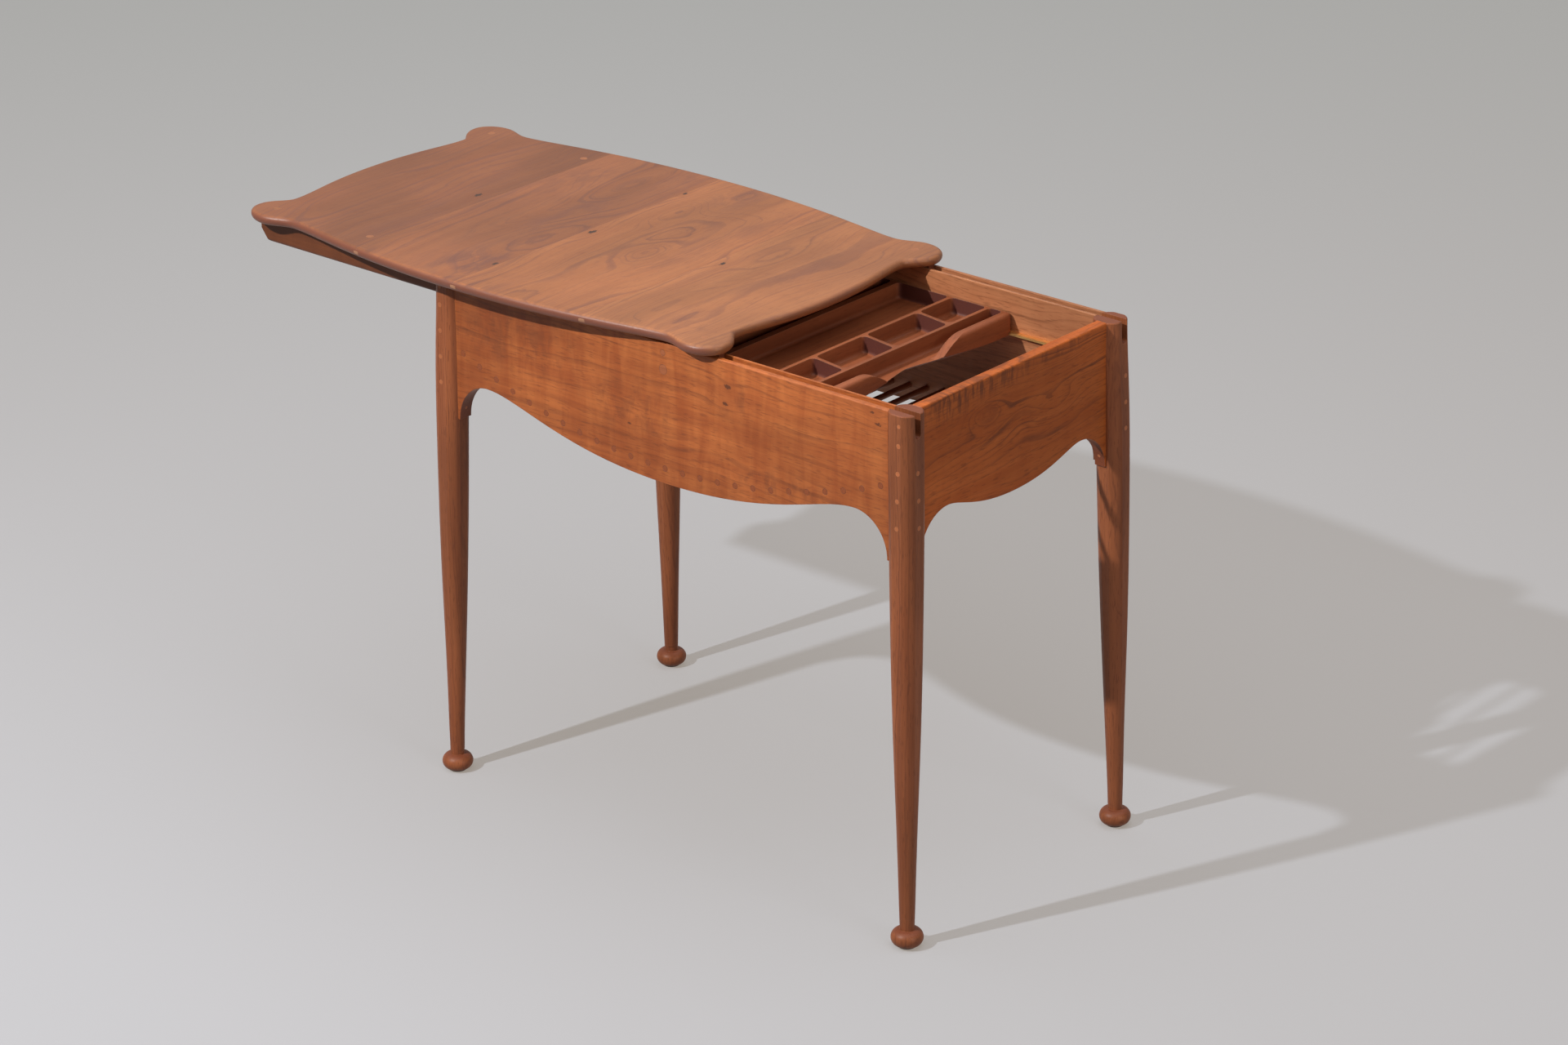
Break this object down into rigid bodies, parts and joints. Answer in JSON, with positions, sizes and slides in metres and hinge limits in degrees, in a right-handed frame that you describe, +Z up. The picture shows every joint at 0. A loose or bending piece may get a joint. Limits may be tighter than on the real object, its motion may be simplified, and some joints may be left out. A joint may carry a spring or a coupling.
{
  "type": "sewing desk",
  "caption": "Small standing desk with a sliding shaped top on wooden runners, a carved tray sliding on brass rails, a rack of rods, and tapering legs on ball feet.",
  "frame": {"origin": "on the floor under the middle of the whole desk as stored, with the top slid to its left limit", "axes": "+X along the desk towards the open tray end, +Y from the front to the back, +Z up"},
  "size_m": [1.1308, 0.512, 0.7175],
  "materials": {
    "leg_wood": "satin oil",
    "apron_wood": "satin oil",
    "top_wood": "satin oil, hand rubbed",
    "spline_wood": "satin oil",
    "runner_wood": "waxed",
    "tray_wood": "satin oil",
    "rod_wood": "satin oil",
    "peg_wood": "satin oil",
    "brass": "brushed",
    "screw_steel": "plain",
    "glide": "matt"
  },
  "bodies": {
    "frame": {"apron_back": "apron_wood", "apron_front": "apron_wood", "apron_left": "apron_wood", "apron_right": "apron_wood", "face_plugs": "peg_wood", "glide_back_left": "glide", "glide_back_right": "glide", "glide_front_left": "glide", "glide_front_right": "glide", "leg_back_left": "leg_wood", "leg_back_right": "leg_wood", "leg_front_left": "leg_wood", "leg_front_right": "leg_wood", "pegs_back_left": "peg_wood", "pegs_back_right": "peg_wood", "pegs_front_left": "peg_wood", "pegs_front_right": "peg_wood", "rack_rod_01": "rod_wood", "rack_rod_02": "rod_wood", "rack_rod_03": "rod_wood", "rack_rod_04": "rod_wood", "rack_rod_05": "rod_wood", "rack_rod_06": "rod_wood", "rack_rod_07": "rod_wood", "rack_rod_08": "rod_wood", "rack_rod_09": "rod_wood", "rack_rod_10": "rod_wood", "rack_rod_11": "rod_wood", "rack_rod_12": "rod_wood", "rack_rod_13": "rod_wood", "rack_rod_14": "rod_wood", "rack_rod_15": "rod_wood", "rack_rod_16": "rod_wood", "rack_rod_17": "rod_wood", "rack_rod_18": "rod_wood", "rack_rod_19": "rod_wood", "rack_rod_20": "rod_wood", "rack_rod_21": "rod_wood", "rack_rod_22": "rod_wood", "rack_rod_23": "rod_wood", "rack_rod_24": "rod_wood", "rack_rod_25": "rod_wood", "stop_pins": "peg_wood", "tray_rail_back": "brass", "tray_rail_front": "brass"},
    "top": {"runner_back": "runner_wood", "runner_front": "runner_wood", "runner_plugs": "peg_wood", "runner_screws": "screw_steel", "top_board_1": "top_wood", "top_board_2": "top_wood", "top_board_3": "top_wood", "top_board_4": "top_wood", "top_spline_1": "spline_wood", "top_spline_2": "spline_wood", "top_spline_3": "spline_wood"},
    "tray": {"tray": "tray_wood"}
  },
  "joints": [
    {"name": "top_slide", "type": "slide", "parent": "frame", "child": "top", "axis": [1, 0, 0], "range_m": [0, 0.6295]},
    {"name": "tray_slide", "type": "slide", "parent": "frame", "child": "tray", "axis": [1, 0, 0], "range_m": [-0.353, 0.127]}
  ]
}
